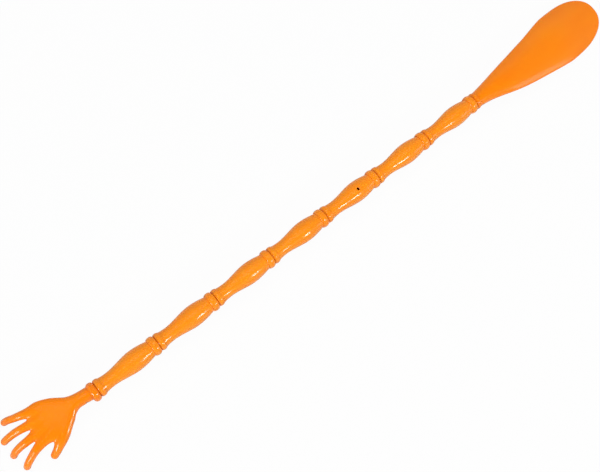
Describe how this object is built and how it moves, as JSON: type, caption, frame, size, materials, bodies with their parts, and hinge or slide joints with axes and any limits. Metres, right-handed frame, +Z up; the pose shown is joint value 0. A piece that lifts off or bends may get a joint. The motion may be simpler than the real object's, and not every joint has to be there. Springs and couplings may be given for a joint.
{
  "type": "back scratcher and shoehorn",
  "caption": "Long-handled back scratcher: a small hand, a shaft of waisted push-together links with ringed joints, and an arched shoehorn blade.",
  "frame": {"origin": "on the surface that the object lies on, under the middle of its overall box, so straight below the shaft's axis near the middle of its length", "axes": "+X along the shaft from the hand to the shoehorn, +Z up: the back of the hand and the outside of the shoehorn's arch face up, +Y to the side of the little finger"},
  "size_m": [0.5862, 0.047, 0.0239],
  "materials": {
    "orange_plastic": "glossy injection moulded plastic, opaque orange"
  },
  "bodies": {
    "hand": {"hand": "orange_plastic"},
    "link_1": {"link_1": "orange_plastic"},
    "link_2": {"link_2": "orange_plastic"},
    "link_3": {"link_3": "orange_plastic"},
    "link_4": {"link_4": "orange_plastic"},
    "link_5": {"link_5": "orange_plastic"},
    "link_6": {"link_6": "orange_plastic"},
    "link_7": {"link_7": "orange_plastic"},
    "shoehorn": {"shoehorn": "orange_plastic"}
  },
  "joints": [
    {"name": "hand_pull_off", "type": "slide", "parent": "hand", "child": "link_1", "axis": [1, 0, 0], "range_m": [0, 0.012]},
    {"name": "link_1_2_pull_off", "type": "slide", "parent": "link_1", "child": "link_2", "axis": [1, 0, 0], "range_m": [0, 0.012]},
    {"name": "link_2_3_pull_off", "type": "slide", "parent": "link_2", "child": "link_3", "axis": [1, 0, 0], "range_m": [0, 0.012]},
    {"name": "link_3_4_pull_off", "type": "slide", "parent": "link_3", "child": "link_4", "axis": [1, 0, 0], "range_m": [0, 0.012]},
    {"name": "link_4_5_pull_off", "type": "slide", "parent": "link_4", "child": "link_5", "axis": [1, 0, 0], "range_m": [0, 0.012]},
    {"name": "link_5_6_pull_off", "type": "slide", "parent": "link_5", "child": "link_6", "axis": [1, 0, 0], "range_m": [0, 0.012]},
    {"name": "link_6_7_pull_off", "type": "slide", "parent": "link_6", "child": "link_7", "axis": [1, 0, 0], "range_m": [0, 0.012]},
    {"name": "shoehorn_pull_off", "type": "slide", "parent": "link_7", "child": "shoehorn", "axis": [1, 0, 0], "range_m": [0, 0.012]}
  ]
}
